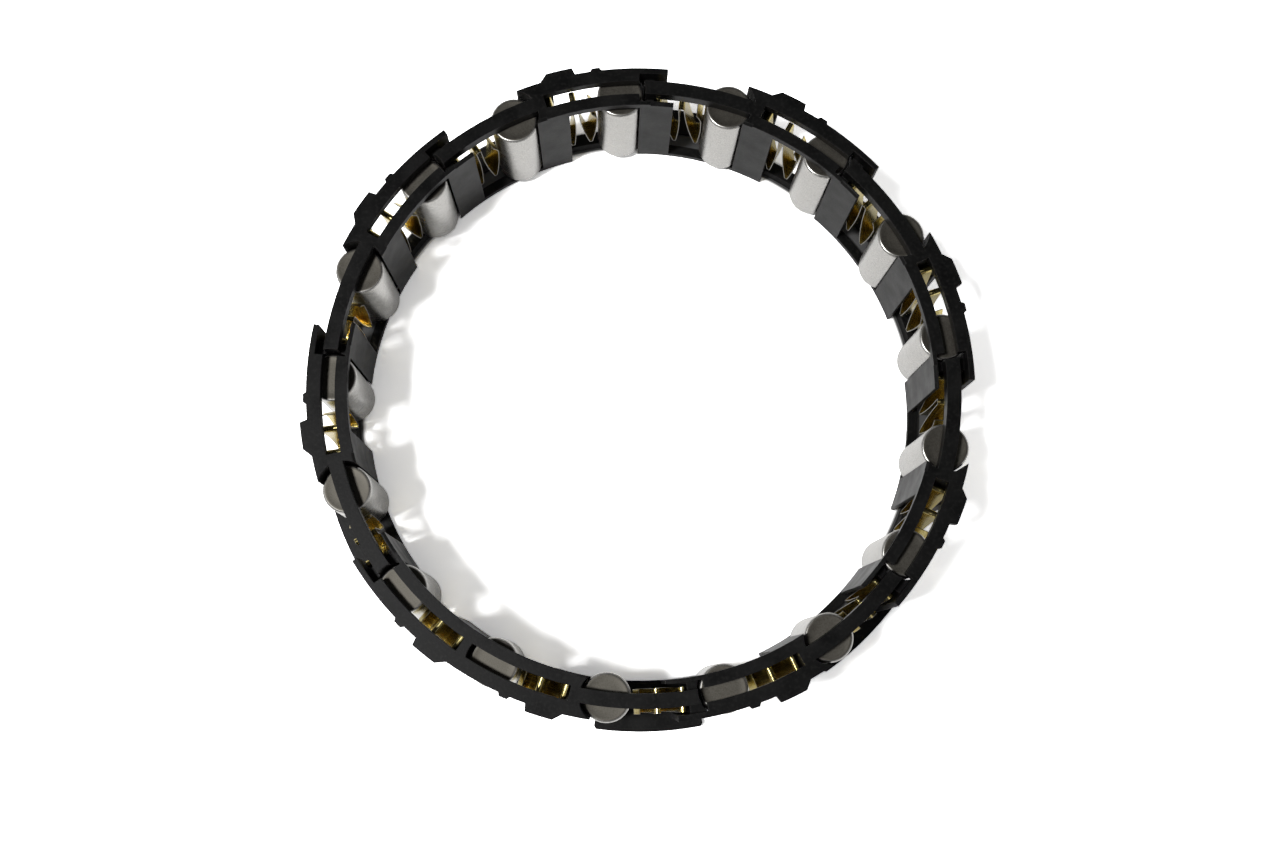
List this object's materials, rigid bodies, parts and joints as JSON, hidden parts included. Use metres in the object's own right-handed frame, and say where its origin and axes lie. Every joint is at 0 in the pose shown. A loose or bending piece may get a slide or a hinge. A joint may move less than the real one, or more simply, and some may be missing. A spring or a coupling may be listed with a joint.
{
  "type": "one-way roller clutch",
  "caption": "One-way clutch ring: a moulded plastic cage holds upright steel rollers, each pushed against its bar by a folded leaf spring. No races.",
  "frame": {"origin": "on the ring's axis, at the cage's lower face", "axes": "+Z along the ring's axis, up out of the face that carries the lugs; +Y through the first roller; pockets are numbered clockwise seen from +Z"},
  "size_m": [0.1129, 0.1135, 0.0224],
  "materials": {
    "cage": "charcoal moulded nylon, matt, faintly mottled",
    "roller": "satin ground sides, darker ground ends",
    "spring": "straw-tinted spring steel strip"
  },
  "bodies": {
    "cage": {"cage": "cage"},
    "spring_01": {"spring_01": "spring"},
    "roller_01": {"roller_01": "roller"},
    "spring_02": {"spring_02": "spring"},
    "roller_02": {"roller_02": "roller"},
    "spring_03": {"spring_03": "spring"},
    "roller_03": {"roller_03": "roller"},
    "spring_04": {"spring_04": "spring"},
    "roller_04": {"roller_04": "roller"},
    "spring_05": {"spring_05": "spring"},
    "roller_05": {"roller_05": "roller"},
    "spring_06": {"spring_06": "spring"},
    "roller_06": {"roller_06": "roller"},
    "spring_07": {"spring_07": "spring"},
    "roller_07": {"roller_07": "roller"},
    "spring_08": {"spring_08": "spring"},
    "roller_08": {"roller_08": "roller"},
    "spring_09": {"spring_09": "spring"},
    "roller_09": {"roller_09": "roller"},
    "spring_10": {"spring_10": "spring"},
    "roller_10": {"roller_10": "roller"},
    "spring_11": {"spring_11": "spring"},
    "roller_11": {"roller_11": "roller"},
    "spring_12": {"spring_12": "spring"},
    "roller_12": {"roller_12": "roller"},
    "spring_13": {"spring_13": "spring"},
    "roller_13": {"roller_13": "roller"},
    "spring_14": {"spring_14": "spring"},
    "roller_14": {"roller_14": "roller"},
    "spring_15": {"spring_15": "spring"},
    "roller_15": {"roller_15": "roller"},
    "spring_16": {"spring_16": "spring"},
    "roller_16": {"roller_16": "roller"},
    "spring_17": {"spring_17": "spring"},
    "roller_17": {"roller_17": "roller"}
  },
  "joints": [
    {"name": "roller_01_travel", "type": "hinge", "parent": "cage", "child": "spring_01", "pos_m": [0, 0, 0], "axis": [0, 0, 1], "range_deg": [0, 3.5], "stiffness_Nm_per_rad": 2.6, "springref_deg": -3.44, "deforming": ["spring_01"]},
    {"name": "roller_01_spin", "type": "hinge", "parent": "spring_01", "child": "roller_01", "pos_m": [0, 0.0511, 0.0107], "axis": [0, 0, 1], "continuous": true},
    {"name": "roller_02_travel", "type": "hinge", "parent": "cage", "child": "spring_02", "pos_m": [0, 0, 0], "axis": [0, 0, 1], "range_deg": [0, 3.5], "stiffness_Nm_per_rad": 2.6, "springref_deg": -3.44, "deforming": ["spring_02"]},
    {"name": "roller_02_spin", "type": "hinge", "parent": "spring_02", "child": "roller_02", "pos_m": [0.01846, 0.04765, 0.0107], "axis": [0, 0, 1], "continuous": true},
    {"name": "roller_03_travel", "type": "hinge", "parent": "cage", "child": "spring_03", "pos_m": [0, 0, 0], "axis": [0, 0, 1], "range_deg": [0, 3.5], "stiffness_Nm_per_rad": 2.6, "springref_deg": -3.44, "deforming": ["spring_03"]},
    {"name": "roller_03_spin", "type": "hinge", "parent": "spring_03", "child": "roller_03", "pos_m": [0.03443, 0.03776, 0.0107], "axis": [0, 0, 1], "continuous": true},
    {"name": "roller_04_travel", "type": "hinge", "parent": "cage", "child": "spring_04", "pos_m": [0, 0, 0], "axis": [0, 0, 1], "range_deg": [0, 3.5], "stiffness_Nm_per_rad": 2.6, "springref_deg": -3.44, "deforming": ["spring_04"]},
    {"name": "roller_04_spin", "type": "hinge", "parent": "spring_04", "child": "roller_04", "pos_m": [0.04574, 0.02278, 0.0107], "axis": [0, 0, 1], "continuous": true},
    {"name": "roller_05_travel", "type": "hinge", "parent": "cage", "child": "spring_05", "pos_m": [0, 0, 0], "axis": [0, 0, 1], "range_deg": [0, 3.5], "stiffness_Nm_per_rad": 2.6, "springref_deg": -3.44, "deforming": ["spring_05"]},
    {"name": "roller_05_spin", "type": "hinge", "parent": "spring_05", "child": "roller_05", "pos_m": [0.05088, 0.00471, 0.0107], "axis": [0, 0, 1], "continuous": true},
    {"name": "roller_06_travel", "type": "hinge", "parent": "cage", "child": "spring_06", "pos_m": [0, 0, 0], "axis": [0, 0, 1], "range_deg": [0, 3.5], "stiffness_Nm_per_rad": 2.6, "springref_deg": -3.44, "deforming": ["spring_06"]},
    {"name": "roller_06_spin", "type": "hinge", "parent": "spring_06", "child": "roller_06", "pos_m": [0.04915, -0.01398, 0.0107], "axis": [0, 0, 1], "continuous": true},
    {"name": "roller_07_travel", "type": "hinge", "parent": "cage", "child": "spring_07", "pos_m": [0, 0, 0], "axis": [0, 0, 1], "range_deg": [0, 3.5], "stiffness_Nm_per_rad": 2.6, "springref_deg": -3.44, "deforming": ["spring_07"]},
    {"name": "roller_07_spin", "type": "hinge", "parent": "spring_07", "child": "roller_07", "pos_m": [0.04078, -0.03079, 0.0107], "axis": [0, 0, 1], "continuous": true},
    {"name": "roller_08_travel", "type": "hinge", "parent": "cage", "child": "spring_08", "pos_m": [0, 0, 0], "axis": [0, 0, 1], "range_deg": [0, 3.5], "stiffness_Nm_per_rad": 2.6, "springref_deg": -3.44, "deforming": ["spring_08"]},
    {"name": "roller_08_spin", "type": "hinge", "parent": "spring_08", "child": "roller_08", "pos_m": [0.0269, -0.04345, 0.0107], "axis": [0, 0, 1], "continuous": true},
    {"name": "roller_09_travel", "type": "hinge", "parent": "cage", "child": "spring_09", "pos_m": [0, 0, 0], "axis": [0, 0, 1], "range_deg": [0, 3.5], "stiffness_Nm_per_rad": 2.6, "springref_deg": -3.44, "deforming": ["spring_09"]},
    {"name": "roller_09_spin", "type": "hinge", "parent": "spring_09", "child": "roller_09", "pos_m": [0.00939, -0.05023, 0.0107], "axis": [0, 0, 1], "continuous": true},
    {"name": "roller_10_travel", "type": "hinge", "parent": "cage", "child": "spring_10", "pos_m": [0, 0, 0], "axis": [0, 0, 1], "range_deg": [0, 3.5], "stiffness_Nm_per_rad": 2.6, "springref_deg": -3.44, "deforming": ["spring_10"]},
    {"name": "roller_10_spin", "type": "hinge", "parent": "spring_10", "child": "roller_10", "pos_m": [-0.00939, -0.05023, 0.0107], "axis": [0, 0, 1], "continuous": true},
    {"name": "roller_11_travel", "type": "hinge", "parent": "cage", "child": "spring_11", "pos_m": [0, 0, 0], "axis": [0, 0, 1], "range_deg": [0, 3.5], "stiffness_Nm_per_rad": 2.6, "springref_deg": -3.44, "deforming": ["spring_11"]},
    {"name": "roller_11_spin", "type": "hinge", "parent": "spring_11", "child": "roller_11", "pos_m": [-0.0269, -0.04345, 0.0107], "axis": [0, 0, 1], "continuous": true},
    {"name": "roller_12_travel", "type": "hinge", "parent": "cage", "child": "spring_12", "pos_m": [0, 0, 0], "axis": [0, 0, 1], "range_deg": [0, 3.5], "stiffness_Nm_per_rad": 2.6, "springref_deg": -3.44, "deforming": ["spring_12"]},
    {"name": "roller_12_spin", "type": "hinge", "parent": "spring_12", "child": "roller_12", "pos_m": [-0.04078, -0.03079, 0.0107], "axis": [0, 0, 1], "continuous": true},
    {"name": "roller_13_travel", "type": "hinge", "parent": "cage", "child": "spring_13", "pos_m": [0, 0, 0], "axis": [0, 0, 1], "range_deg": [0, 3.5], "stiffness_Nm_per_rad": 2.6, "springref_deg": -3.44, "deforming": ["spring_13"]},
    {"name": "roller_13_spin", "type": "hinge", "parent": "spring_13", "child": "roller_13", "pos_m": [-0.04915, -0.01398, 0.0107], "axis": [0, 0, 1], "continuous": true},
    {"name": "roller_14_travel", "type": "hinge", "parent": "cage", "child": "spring_14", "pos_m": [0, 0, 0], "axis": [0, 0, 1], "range_deg": [0, 3.5], "stiffness_Nm_per_rad": 2.6, "springref_deg": -3.44, "deforming": ["spring_14"]},
    {"name": "roller_14_spin", "type": "hinge", "parent": "spring_14", "child": "roller_14", "pos_m": [-0.05088, 0.00471, 0.0107], "axis": [0, 0, 1], "continuous": true},
    {"name": "roller_15_travel", "type": "hinge", "parent": "cage", "child": "spring_15", "pos_m": [0, 0, 0], "axis": [0, 0, 1], "range_deg": [0, 3.5], "stiffness_Nm_per_rad": 2.6, "springref_deg": -3.44, "deforming": ["spring_15"]},
    {"name": "roller_15_spin", "type": "hinge", "parent": "spring_15", "child": "roller_15", "pos_m": [-0.04574, 0.02278, 0.0107], "axis": [0, 0, 1], "continuous": true},
    {"name": "roller_16_travel", "type": "hinge", "parent": "cage", "child": "spring_16", "pos_m": [0, 0, 0], "axis": [0, 0, 1], "range_deg": [0, 3.5], "stiffness_Nm_per_rad": 2.6, "springref_deg": -3.44, "deforming": ["spring_16"]},
    {"name": "roller_16_spin", "type": "hinge", "parent": "spring_16", "child": "roller_16", "pos_m": [-0.03443, 0.03776, 0.0107], "axis": [0, 0, 1], "continuous": true},
    {"name": "roller_17_travel", "type": "hinge", "parent": "cage", "child": "spring_17", "pos_m": [0, 0, 0], "axis": [0, 0, 1], "range_deg": [0, 3.5], "stiffness_Nm_per_rad": 2.6, "springref_deg": -3.44, "deforming": ["spring_17"]},
    {"name": "roller_17_spin", "type": "hinge", "parent": "spring_17", "child": "roller_17", "pos_m": [-0.01846, 0.04765, 0.0107], "axis": [0, 0, 1], "continuous": true}
  ]
}
